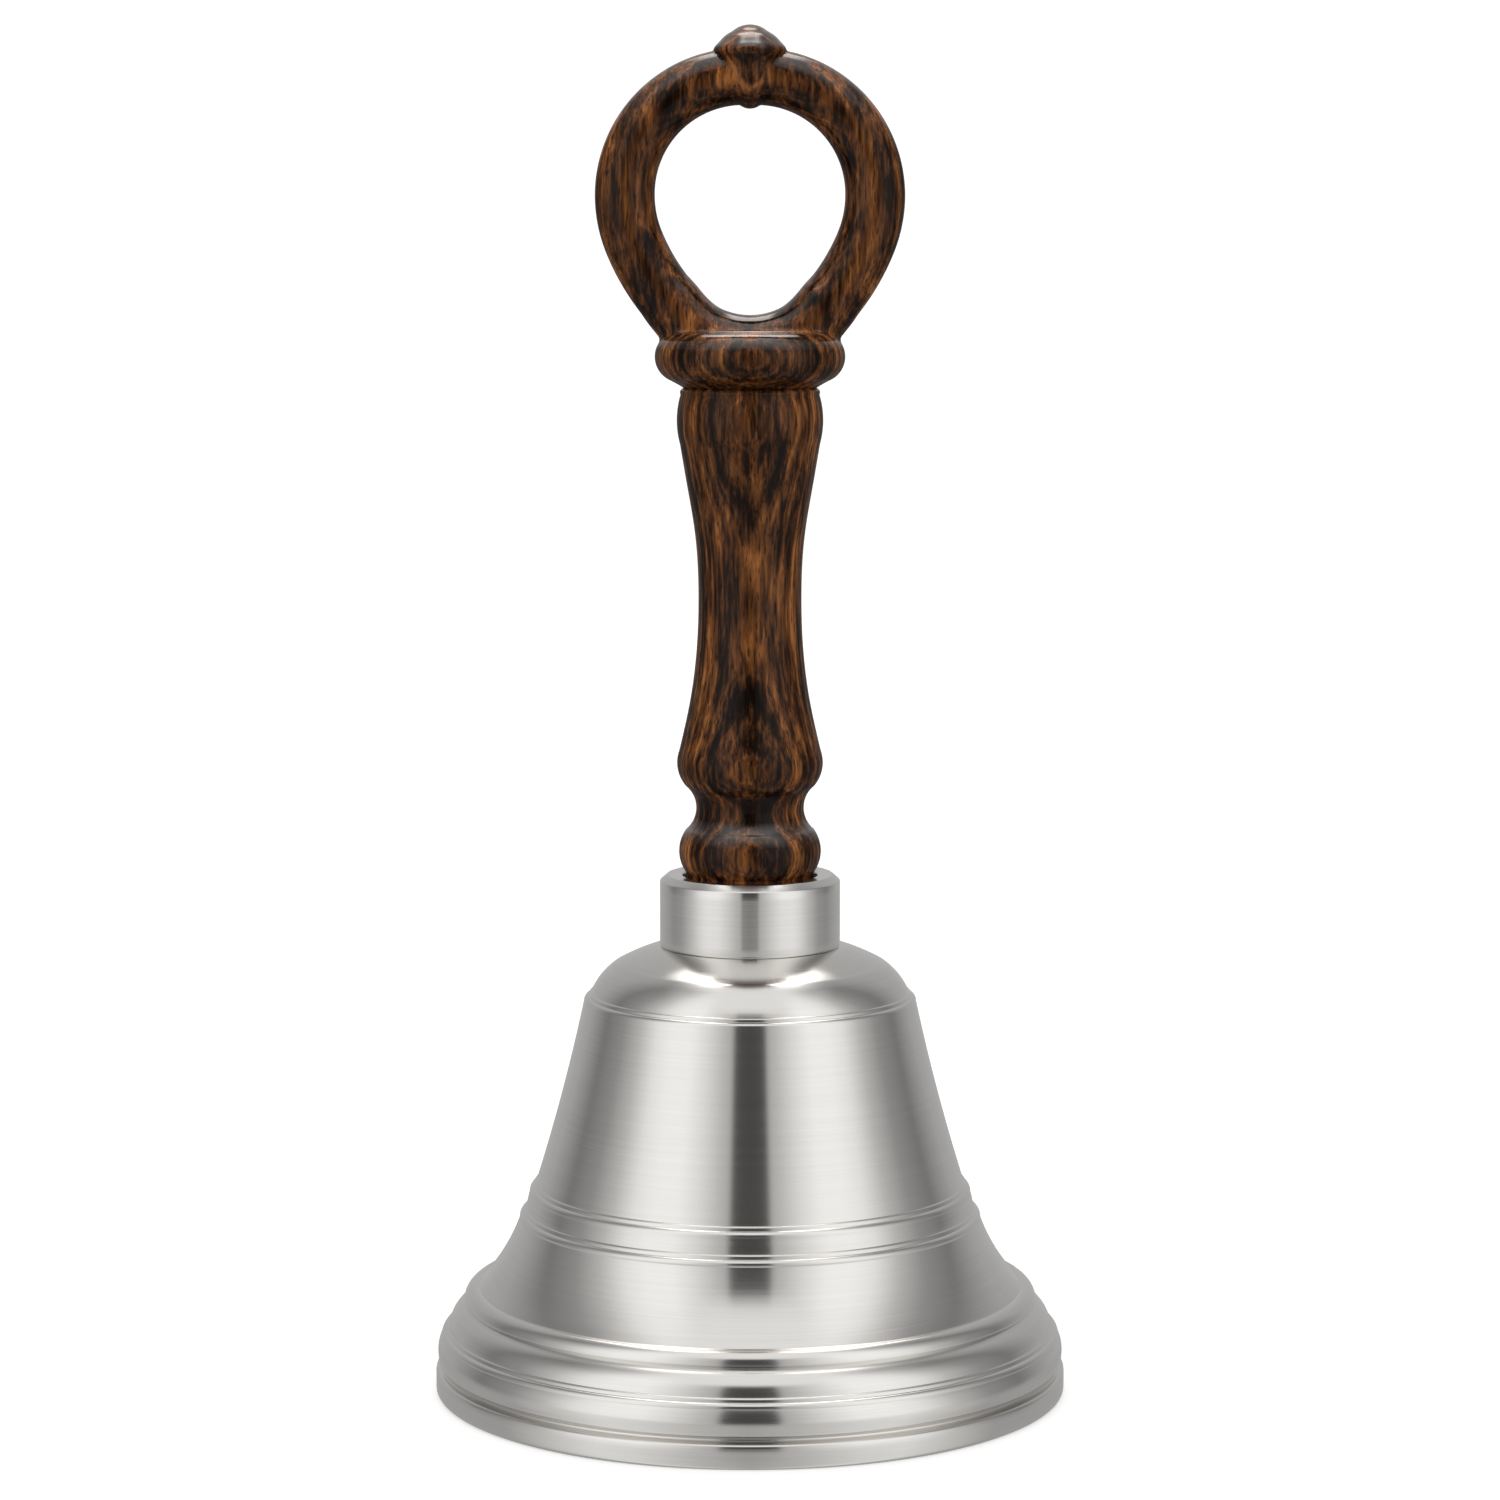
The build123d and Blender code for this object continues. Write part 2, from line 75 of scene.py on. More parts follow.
def make_camera():
    data = bpy.data.cameras.new("camera")
    data.sensor_width = 36.0
    data.lens = LENS
    data.clip_start = 0.01
    camera = bpy.data.objects.new("camera", data)
    bpy.context.scene.collection.objects.link(camera)
    camera.location = (0.0, -CAMERA_DISTANCE, CAMERA_HEIGHT)
    aim = Vector((0.0, 0.0, AIM_HEIGHT)) - camera.location
    camera.rotation_euler = aim.to_track_quat("-Z", "Y").to_euler()
    bpy.context.scene.camera = camera


# ---- Node helpers ---------------------------------------------------------------------
class Nodes:
    """Short forms for building a node tree."""

    def __init__(self, tree):
        self.tree = tree

    def add(self, kind, inputs=None, **settings):
        node = self.tree.nodes.new(kind)
        for name, value in settings.items():
            setattr(node, name, value)
        for name, value in (inputs or {}).items():
            self.feed(node.inputs[name], value)
        return node

    def feed(self, socket, value):
        if isinstance(value, bpy.types.NodeSocket):
            self.tree.links.new(value, socket)
        else:
            socket.default_value = value

    def math(self, operation, a, b=0.0):
        node = self.add("ShaderNodeMath", operation=operation)
        self.feed(node.inputs[0], a)
        self.feed(node.inputs[1], b)
        return node.outputs[0]

    def noise(self, vector, scale, detail=2.0, roughness=0.5):
        node = self.add("ShaderNodeTexNoise", inputs={
            "Vector": vector, "Scale": scale, "Detail": detail, "Roughness": roughness})
        return node.outputs["Fac"]

    def ramp(self, value, stops):
        """Straight steps between (position, grey or colour) stops."""
        node = self.add("ShaderNodeValToRGB", inputs={"Fac": value})
        ramp = node.color_ramp
        while len(ramp.elements) < len(stops):
            ramp.elements.new(0.5)
        for element, (position, colour) in zip(ramp.elements, stops):
            element.position = position
            if isinstance(colour, (int, float)):
                colour = (colour, colour, colour)
            element.color = (*colour, 1.0)
        return node.outputs["Color"]

    def mix(self, factor, a, b):
        node = self.add("ShaderNodeMix", data_type="RGBA")
        self.feed(node.inputs[0], factor)
        self.feed(node.inputs[6], a)
        self.feed(node.inputs[7], b)
        return node.outputs[2]

    def join(self, x, y, z):
        return self.add("ShaderNodeCombineXYZ", inputs={"X": x, "Y": y, "Z": z}).outputs[0]


def new_material(name):
    material = bpy.data.materials.new(name)
    material.use_nodes = True
    nodes = Nodes(material.node_tree)
    shader = material.node_tree.nodes["Principled BSDF"]
    return material, nodes, shader


def object_axes(nodes):
    """Position in the piece's own frame, as a vector and as its three numbers, in metres."""
    place = nodes.add("ShaderNodeTexCoord").outputs["Object"]
    split = nodes.add("ShaderNodeSeparateXYZ", inputs={"Vector": place})
    return place, split.outputs[0], split.outputs[1], split.outputs[2]


def stretched(nodes, x, y, z, across, along):
    """A place for a noise that has one scale across the grain and another along Z."""
    return nodes.join(nodes.math("MULTIPLY", x, across), nodes.math("MULTIPLY", y, across),
                      nodes.math("MULTIPLY", z, along))


# ---- Materials ------------------------------------------------------------------------
def turned_metal(name, colour, roughness, anisotropy, line_depth):
    """Metal with fine lathe lines around the Z axis."""
    material, nodes, shader = new_material(name)
    _, x, y, z = object_axes(nodes)
    radius = nodes.math("SQRT", nodes.math("ADD", nodes.math("MULTIPLY", x, x),
                                           nodes.math("MULTIPLY", y, y)))
    # the lines follow the outline: their count rises with height and falls with radius
    across = nodes.math("SUBTRACT", z, nodes.math("MULTIPLY", radius, 0.6))
    fine_lines = nodes.noise(stretched(nodes, x, y, across, 30.0, 5200.0), 1.0, detail=1.0)
    coarse_lines = nodes.noise(stretched(nodes, x, y, across, 14.0, 1100.0), 1.0, detail=2.0)
    lines = nodes.math("ADD", nodes.math("MULTIPLY", fine_lines, 0.6),
                       nodes.math("MULTIPLY", coarse_lines, 0.4))
    tint = nodes.ramp(lines, [(0.3, tuple(0.94 * c for c in colour)), (0.7, colour)])
    nodes.feed(shader.inputs["Base Color"], tint)
    shader.inputs["Metallic"].default_value = 1.0
    rough = nodes.add("ShaderNodeMapRange", inputs={
        "Value": lines, "From Min": 0.3, "From Max": 0.7,
        "To Min": roughness * 0.9, "To Max": roughness * 1.12}).outputs[0]
    nodes.feed(shader.inputs["Roughness"], rough)
    shader.inputs["Anisotropic"].default_value = anisotropy
    shader.inputs["Anisotropic Rotation"].default_value = 0.25
    tangent = nodes.add("ShaderNodeTangent", direction_type="RADIAL", axis="Z")
    nodes.feed(shader.inputs["Tangent"], tangent.outputs[0])
    bump = nodes.add("ShaderNodeBump", inputs={
        "Height": lines, "Strength": 1.0, "Distance": line_depth * MM})
    nodes.feed(shader.inputs["Normal"], bump.outputs[0])
    return material


def plain_metal(name, colour, roughness):
    """Small hardware: an even metal with faint tool marks."""
    material, nodes, shader = new_material(name)
    place, _, _, _ = object_axes(nodes)
    marks = nodes.noise(place, 1500.0, detail=3.0)
    nodes.feed(shader.inputs["Base Color"], nodes.ramp(
        marks, [(0.3, tuple(0.85 * c for c in colour)), (0.7, colour)]))
    shader.inputs["Metallic"].default_value = 1.0
    nodes.feed(shader.inputs["Roughness"], nodes.add("ShaderNodeMapRange", inputs={
        "Value": marks, "To Min": roughness * 0.7, "To Max": roughness * 1.3}).outputs[0])
    bump = nodes.add("ShaderNodeBump", inputs={
        "Height": marks, "Strength": 0.4, "Distance": 0.02 * MM})
    nodes.feed(shader.inputs["Normal"], bump.outputs[0])
    return material


def leather(name):
    material, nodes, shader = new_material(name)
    place, _, _, _ = object_axes(nodes)
    grain = nodes.noise(place, 1800.0, detail=5.0)
    nodes.feed(shader.inputs["Base Color"], nodes.ramp(
        grain, [(0.35, (0.1, 0.05, 0.025)), (0.65, (0.2, 0.11, 0.055))]))
    shader.inputs["Roughness"].default_value = 0.75
    bump = nodes.add("ShaderNodeBump", inputs={
        "Height": grain, "Strength": 0.6, "Distance": 0.08 * MM})
    nodes.feed(shader.inputs["Normal"], bump.outputs[0])
    return material


def dark_wood(name):
    """Solid grain: growth layers stacked front to back, fibres and pores along Z."""
    material, nodes, shader = new_material(name)
    _, x, y, z = object_axes(nodes)
    slow = nodes.noise(stretched(nodes, x, y, z, 55.0, 14.0), 1.0, detail=2.0)
    drift = nodes.math("SUBTRACT", slow, 0.5)
    wander = nodes.noise(stretched(nodes, x, y, z, 260.0, 45.0), 1.0, detail=3.0)
    ripple = nodes.math("SUBTRACT", wander, 0.5)
    # growth layers: depth in Y, bowed a little across X, and disturbed
    bow = nodes.math("MULTIPLY", nodes.math("MULTIPLY", x, x), 9.0)
    depth = nodes.math("ADD", nodes.math("ADD", y, bow),
                       nodes.math("ADD", nodes.math("MULTIPLY", drift, 5.0 * MM),
                                  nodes.math("MULTIPLY", ripple, 1.3 * MM)))
    layers = nodes.noise(nodes.join(nodes.math("MULTIPLY", depth, 520.0), 0.0, 0.0),
                         1.0, detail=3.0, roughness=0.6)
    fibre = nodes.noise(stretched(nodes, x, y, z, 1150.0, 110.0), 1.0,
                        detail=3.0, roughness=0.65)
    pores = nodes.noise(stretched(nodes, x, y, z, 2600.0, 330.0), 1.0, detail=1.0)
    streaks = nodes.math("ADD", nodes.math("MULTIPLY", layers, 0.58),
                         nodes.math("MULTIPLY", fibre, 0.42))
    figure = nodes.math("ADD", streaks, nodes.math("MULTIPLY", ripple, 0.42))
    wood = nodes.ramp(figure, [
        (0.38, (0.007, 0.0026, 0.001)), (0.44, (0.028, 0.01, 0.0038)),
        (0.49, (0.1, 0.036, 0.012)), (0.56, (0.25, 0.09, 0.026)),
        (0.65, (0.6, 0.22, 0.06))])
    pore_mask = nodes.ramp(pores, [(0.33, 1.0), (0.4, 0.0)])
    wood = nodes.mix(nodes.math("MULTIPLY", pore_mask, 0.7), wood, (0.006, 0.003, 0.002, 1.0))
    nodes.feed(shader.inputs["Base Color"], wood)
    shader.inputs["Roughness"].default_value = 0.45
    shader.inputs["Specular IOR Level"].default_value = 0.03
    # the wax is thicker on faces that look up
    facing = nodes.add("ShaderNodeSeparateXYZ", inputs={
        "Vector": nodes.add("ShaderNodeNewGeometry").outputs["Normal"]}).outputs[2]
    nodes.feed(shader.inputs["Coat Weight"], nodes.ramp(facing, [(0.3, 0.08), (0.75, 1.0)]))
    shader.inputs["Coat Roughness"].default_value = 0.09
    shader.inputs["Coat IOR"].default_value = 2.0
    bump = nodes.add("ShaderNodeBump", inputs={
        "Height": nodes.math("SUBTRACT", fibre, nodes.math("MULTIPLY", pore_mask, 0.8)),
        "Strength": 0.5, "Distance": 0.06 * MM})
    nodes.feed(shader.inputs["Normal"], bump.outputs[0])
    return material


# ---- Turned pieces --------------------------------------------------------------------
def arc_points(start, middle, end):
    """Points from start to end on the circle through middle, without the start."""
    (ax, ay), (bx, by), (cx, cy) = start, middle, end
    d = 2 * (ax * (by - cy) + bx * (cy - ay) + cx * (ay - by))
    ux = ((ax**2 + ay**2) * (by - cy) + (bx**2 + by**2) * (cy - ay)
          + (cx**2 + cy**2) * (ay - by)) / d
    uy = ((ax**2 + ay**2) * (cx - bx) + (bx**2 + by**2) * (ax - cx)
          + (cx**2 + cy**2) * (bx - ax)) / d
    radius = math.hypot(ax - ux, ay - uy)
    first = math.atan2(ay - uy, ax - ux)
    turn = (math.atan2(cy - uy, cx - ux) - first) % (2 * math.pi)
    through = (math.atan2(by - uy, bx - ux) - first) % (2 * math.pi)
    if through > turn:
        turn -= 2 * math.pi
    count = max(4, math.ceil(abs(turn) * radius / OUTLINE_STEP))
    angles = first + turn * np.arange(1, count + 1) / count
    return [(ux + radius * math.cos(a), uy + radius * math.sin(a)) for a in angles]


def line_points(start, end):
    length = math.dist(start, end)
    count = max(1, math.ceil(length / (4 * OUTLINE_STEP)))
    return [(start[0] + (end[0] - start[0]) * i / count,
             start[1] + (end[1] - start[1]) * i / count) for i in range(1, count + 1)]


def curve_points(knots):
    """A natural cubic curve through the knots, without the first."""
    knots = np.array(knots, float)
    steps = np.hypot(*np.diff(knots, axis=0).T)
    size = len(knots)
    system = np.eye(size)
    right = np.zeros((size, 2))
    for i in range(1, size - 1):
        before, after = steps[i - 1], steps[i]
        system[i, i - 1:i + 2] = (before, 2 * (before + after), after)
        right[i] = 6 * ((knots[i + 1] - knots[i]) / after - (knots[i] - knots[i - 1]) / before)
    bend = np.linalg.solve(system, right)
    points = []
    for i in range(size - 1):
        h = steps[i]
        count = max(2, math.ceil(h / OUTLINE_STEP))
        for k in range(1, count + 1):
            t = h * k / count
            a, b = h - t, t
            p = (bend[i] * a**3 + bend[i + 1] * b**3) / (6 * h)
            p += (knots[i] / h - bend[i] * h / 6) * a + (knots[i + 1] / h - bend[i + 1] * h / 6) * b
            points.append((float(p[0]), float(p[1])))
    return points


def outline(start, *steps):
    """Outline from a start point: a step is a line to one point, an arc through two,
    or a curve through more."""
    points = [start]
    for step in steps:
        if isinstance(step[0], (int, float)):
            points += line_points(points[-1], step)
        elif len(step) == 2:
            points += arc_points(points[-1], *step)
        else:
            points += curve_points([points[-1], *step])
    return points


def add_mesh(name, vertices, faces, material):
    mesh = bpy.data.meshes.new(name)
    mesh.from_pydata([tuple(v) for v in vertices], [], faces)
    mesh.validate()
    mesh.update()
    mesh.polygons.foreach_set("use_smooth", [True] * len(mesh.polygons))
    mesh.set_sharp_from_angle(angle=CREASE_ANGLE)
    mesh.materials.append(material)
    piece = bpy.data.objects.new(name, mesh)
    bpy.context.scene.collection.objects.link(piece)
    return piece


def turned_piece(name, points, material, closed=True):
    """Revolves an outline of (radius, height) millimetres about Z. Points on the axis
    become single vertices."""
    ring_of, vertices = [], []
    angles = 2 * math.pi * np.arange(TURNED_SEGMENTS) / TURNED_SEGMENTS
    for radius, height in points:
        if radius < 1e-6:
            ring_of.append([len(vertices)] * TURNED_SEGMENTS)
            vertices.append((0.0, 0.0, height * MM))
            continue
        first = len(vertices)
        ring_of.append(list(range(first, first + TURNED_SEGMENTS)))
        for angle in angles:
            vertices.append((radius * MM * math.cos(angle), radius * MM * math.sin(angle),
                             height * MM))
    pairs = list(zip(ring_of, ring_of[1:]))
    if closed:
        pairs.append((ring_of[-1], ring_of[0]))
    faces = []
    for low, high in pairs:
        for i in range(TURNED_SEGMENTS):
            j = (i + 1) % TURNED_SEGMENTS
            corners = [low[i], low[j], high[j], high[i]]
            face = [c for n, c in enumerate(corners) if c != corners[n - 1]]
            if len(face) > 2:
                faces.append(face)
    return add_mesh(name, vertices, faces, material)


def settle(piece, body, slot, *nodes):
    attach(piece, body)
    if nodes:
        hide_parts(*nodes)


def make_shell(material):
    """Bell: the outline runs up the outside, in under the crown and down the inside."""
    mouth = radius_of("bell_shell")
    crown = top_of("bell_shell")
    points = outline(
        (mouth - 0.9, 0.0),
        ((mouth - 0.26, 0.26), (mouth, 0.9)),
        (mouth, 3.8),
        ((55.6, 4.25), (55.15, 4.4)),
        (54.75, 4.6),
        (54.95, 4.75),
        ((55.2, 5.0), (54.95, 5.25)),
        (54.7, 5.4),
        (55.0, 5.6),
        ((55.2, 5.75), (55.25, 6.0)),
        ((55.4, 8.0), (54.75, 10.1)),
        ((54.6, 10.75), (53.9, 11.1)),
        (53.8, 11.5),
        ((53.65, 11.7), (53.4, 11.8)),
        ((52.65, 13.9), (50.85, 15.55)),
        (50.4, 15.95),
        (50.7, 16.45),
        ((50.0, 18.15), (48.1, 18.8)),
        ((44.0, 24.2), (40.8, 30.9)),
        ((40.7, 31.7), (40.1, 32.1)),
        (40.0, 32.5),
        ((39.85, 32.75), (39.6, 32.85)),
        ((39.4, 34.1), (39.05, 35.4)),
        ((38.9, 36.2), (38.35, 36.6)),
        (38.25, 37.0),
        ((38.1, 37.25), (37.85, 37.35)),
        ((33.2, 53.4), (29.3, 69.7)),
        ((29.15, 70.25), (28.5, 70.6)),
        (28.4, 70.95),
        ((28.25, 71.2), (28.0, 71.3)),
        ((26.5, 73.8), (23.8, 76.3)),
        ((20.4, 77.95), (16.3, crown)),
        (3.2, crown),
        (3.2, 75.2),
        (16.0, 75.2),
        ((22.9, 72.8), (26.0, 68.4)),
        ((30.0, 53.0), (35.0, 36.0)),
        ((39.9, 25.4), (46.2, 16.0)),
        ((49.0, 9.0), (50.4, 0.9)),
        ((50.65, 0.25), (51.2, 0.0)),
    )
    shell = turned_piece("shell_turned", points, material)
    settle(shell, "bell", "bell_metal", "bell_shell")


def make_collar(material):
    outside = radius_of("collar")
    foot = bottom_of("collar")
    top = top_of("collar")
    web = bottom_of("grip")
    points = outline(
        (3.2, foot),
        (outside - 0.35, foot),
        ((outside - 0.1, foot + 0.1), (outside, foot + 0.35)),
        (outside, top - 1.25),
        ((outside - 0.06, top - 1.08), (outside - 0.2, top - 0.93)),
        (outside - 1.2, top - 0.06),
        ((outside - 1.3, top - 0.01), (outside - 1.42, top)),
        (12.2, top),
        ((11.95, top - 0.12), (11.85, top - 0.35)),
        (11.85, web),
        (3.2, web),
    )
    collar = turned_piece("collar_turned", points, material)
    settle(collar, "bell", "bell_metal", "collar")


def make_grip(material):
    foot = bottom_of("grip")
    joint = top_of("grip")
    points = outline(
        (0.0, foot),
        (11.75, foot),
        (11.75, 89.6),
        ((11.2, 90.7), (11.05, 92.2)),
        ((12.47, 96.4), (11.24, 100.0)),
        ((9.45, 104.1), (11.31, 107.8)),
        ((12.78, 111.4), (12.41, 114.0)),
        [(10.54, 122.5), (9.25, 133.0), (9.01, 142.0), (9.6, 152.0), (10.95, 160.3),
         (12.19, 167.6)],
        ((12.68, 173.2), (12.1, 176.2)),
        ((12.15, 176.85), (11.6, joint)),
        (0.0, joint),
    )
    grip = turned_piece("grip_turned", points, material, closed=False)
    settle(grip, "bell", "dark_wood", "grip")


# ---- Ring head: a distance field of blended forms, meshed on its zero surface ----------
RING_SIDE_HEIGHT = 210.6
RING_HALF_WIDTH = 21.66
RING_HALF_HEIGHT = 20.36
UPPER_SIDE_RADIUS = 20.28
SIDE_ARC_RADIUS = 21.4
SIDE_ARC_TURN = math.radians(22)
LEG_ARC_RADIUS = 37.4
LEG_LEAN = math.radians(38)
LEG_LENGTH = 11.0
SIDE_SECTION = 5.2
TOP_SECTION = 4.88
SADDLE_SECTION = 4.9
HOLE_BOTTOM = 190.0
HOLE_BOTTOM_RADIUS = 11.8
KNUCKLE_TIP_RADIUS = 4.6
KNUCKLE_DEPTH = 1.25        # front to back, compared with its width
PENDANT_RADIUS = 2.8        # the small bulge under the knuckle, inside the ring
PENDANT_HEIGHT = 228.2
LOOP_BLEND = 1.2            # widths of the soft joins between the forms
KNOP_BLEND = 0.9
KNUCKLE_BLEND = 0.2
CELL = 0.42                 # spacing of the field's grid, in millimetres


def blend_min(a, b, width):
    """Smooth union of two distance fields."""
    gap = np.clip(0.5 + 0.5 * (b - a) / width, 0.0, 1.0)
    return b + (a - b) * gap - width * gap * (1 - gap)


def ring_route():
    """Middle line of the right half of the ring, with the section's radius along it."""
    width, height, upper = RING_HALF_WIDTH, RING_HALF_HEIGHT, UPPER_SIDE_RADIUS
    crown = (width**2 + height**2 - 2 * width * upper) / (2 * (height - upper))
    haunch = math.atan2(crown - height, width - upper)
    top = RING_SIDE_HEIGHT + height
    route = []
    for angle in np.linspace(math.pi / 2, haunch, 60):
        route.append((crown * math.cos(angle), top - crown * (1 - math.sin(angle)), TOP_SECTION))
    for share in np.linspace(0, 1, 60)[1:]:
        angle = haunch * (1 - share)
        section = TOP_SECTION + (SIDE_SECTION - TOP_SECTION) * share
        route.append((width - upper * (1 - math.cos(angle)),
                      RING_SIDE_HEIGHT + upper * math.sin(angle), section))
    for share in np.linspace(0, 1, 30)[1:]:
        angle = SIDE_ARC_TURN * share
        route.append((width - SIDE_ARC_RADIUS * (1 - math.cos(angle)),
                      RING_SIDE_HEIGHT - SIDE_ARC_RADIUS * math.sin(angle), SIDE_SECTION))
    end_x, end_z, _ = route[-1]
    for share in np.linspace(0, 1, 30)[1:]:
        angle = SIDE_ARC_TURN + (LEG_LEAN - SIDE_ARC_TURN) * share
        route.append((end_x - LEG_ARC_RADIUS * (math.cos(SIDE_ARC_TURN) - math.cos(angle)),
                      end_z - LEG_ARC_RADIUS * (math.sin(angle) - math.sin(SIDE_ARC_TURN)),
                      SIDE_SECTION))
    end_x, end_z, _ = route[-1]
    for share in np.linspace(0, 1, 40)[1:]:
        route.append((end_x - LEG_LENGTH * share * math.sin(LEG_LEAN),
                      end_z - LEG_LENGTH * share * math.cos(LEG_LEAN), SIDE_SECTION))
    return np.array(route)


def saddle_route():
    """Middle line of the filled bottom of the ring's hole."""
    radius = HOLE_BOTTOM_RADIUS + SADDLE_SECTION
    centre = HOLE_BOTTOM + HOLE_BOTTOM_RADIUS
    return np.array([(radius * math.cos(a), centre - radius * math.sin(a), SADDLE_SECTION)
                     for a in np.linspace(LEG_LEAN, math.pi / 2, 60)])


def to_route(x, z, route):
    """Distance in the plane of the ring to a route, and the section's radius there."""
    best = np.full(x.shape, 1e9)
    section = np.zeros(x.shape)
    for (x0, z0, r0), (x1, z1, r1) in zip(route, route[1:]):
        span = (x1 - x0)**2 + (z1 - z0)**2
        t = np.clip(((x - x0) * (x1 - x0) + (z - z0) * (z1 - z0)) / span, 0, 1)
        away = np.hypot(x - x0 - t * (x1 - x0), z - z0 - t * (z1 - z0))
        nearer = away < best
        best = np.where(nearer, away, best)
        section = np.where(nearer, r0 + t * (r1 - r0), section)
    return best, section


def to_outline(radius, height, points):
    """Signed distance in the (radius, height) plane to a turned outline, minus inside."""
    best = np.full(radius.shape, 1e9)
    inside = np.zeros(radius.shape, bool)
    loop = points + [points[0]]
    for (x0, z0), (x1, z1) in zip(loop, loop[1:]):
        span = (x1 - x0)**2 + (z1 - z0)**2
        if span < 1e-12:
            continue
        t = np.clip(((radius - x0) * (x1 - x0) + (height - z0) * (z1 - z0)) / span, 0, 1)
        away = np.hypot(radius - x0 - t * (x1 - x0), height - z0 - t * (z1 - z0))
        best = np.minimum(best, away)
        if z0 != z1:
            crosses = (z0 > height) != (z1 > height)
            meet = x0 + (height - z0) / (z1 - z0) * (x1 - x0)
            inside ^= crosses & (radius < meet)
    return np.where(inside, -best, best)


class Table:
    """A function of two numbers, sampled once and read by linear interpolation."""

    def __init__(self, function, low, high, step):
        self.low, self.step = low, step
        count = [int(math.ceil((high[i] - low[i]) / step)) + 2 for i in range(2)]
        a, b = np.meshgrid(low[0] + step * np.arange(count[0]),
                           low[1] + step * np.arange(count[1]), indexing="ij")
        self.layers = function(a, b)

    def read(self, a, b):
        shape = self.layers[0].shape
        u = np.clip((a - self.low[0]) / self.step, 0, shape[0] - 1.001)
        v = np.clip((b - self.low[1]) / self.step, 0, shape[1] - 1.001)
        i, j = u.astype(int), v.astype(int)
        u, v = u - i, v - j
        return [layer[i, j] * (1 - u) * (1 - v) + layer[i + 1, j] * u * (1 - v)
                + layer[i, j + 1] * (1 - u) * v + layer[i + 1, j + 1] * u * v
                for layer in self.layers]


def ring_head_field():
    """The carved head as a field: ring and saddle, knop and knuckle, cut flat at the joint."""
    joint = top_of("grip")
    tip = top_of("ring_head")
    knop = outline((-8.0, joint), (11.6, joint), ((12.5, 177.95), (13.9, 178.7)),
                   ((16.53, 183.3), (13.6, 187.0)), (-8.0, 187.0))
    dome = [(KNUCKLE_TIP_RADIUS * math.sin(a), tip - KNUCKLE_TIP_RADIUS * (1 - math.cos(a)))
            for a in np.radians(np.arange(-90, 41, 5))]
    pendant = [(PENDANT_RADIUS * math.cos(a), PENDANT_HEIGHT - PENDANT_RADIUS * math.sin(a))
               for a in np.radians(np.arange(40, 181, 5))]
    knuckle = dome + curve_points([dome[-1], (4.46, 237.75), (5.45, 236.7), (6.3, 235.5),
                                   (5.6, 234.0), (5.1, 232.5), (4.9, 231.0), (4.4, 229.4),
                                   (3.4, 227.5), pendant[0]]) + pendant[1:]
    route, saddle = ring_route(), saddle_route()

    def in_plane(x, z):
        return [*to_route(x, z, route), *to_route(x, z, saddle)]

    def turned(radius, height):
        return [to_outline(radius, height, knop), to_outline(radius, height, knuckle)]

    plane = Table(in_plane, (0.0, joint - 4), (32.0, tip + 4), 0.2)
    spun = Table(turned, (0.0, joint - 4), (34.0, tip + 4), 0.1)

    def field(p):
        x, y, z = np.abs(p[..., 0]), p[..., 1], p[..., 2]
        away, section, saddle_away, saddle_section = plane.read(x, z)
        ring = np.hypot(away, y) - section
        web = np.hypot(saddle_away, y) - saddle_section
        knop_part = spun.read(np.hypot(x, y), z)[0]
        knuckle_part = spun.read(np.hypot(x, y / KNUCKLE_DEPTH), z)[1]
        loop = blend_min(ring, web, LOOP_BLEND)
        body = blend_min(loop, knop_part, KNOP_BLEND)
        body = blend_min(body, knuckle_part, KNUCKLE_BLEND)
        return np.maximum(body, joint - z)

    return field


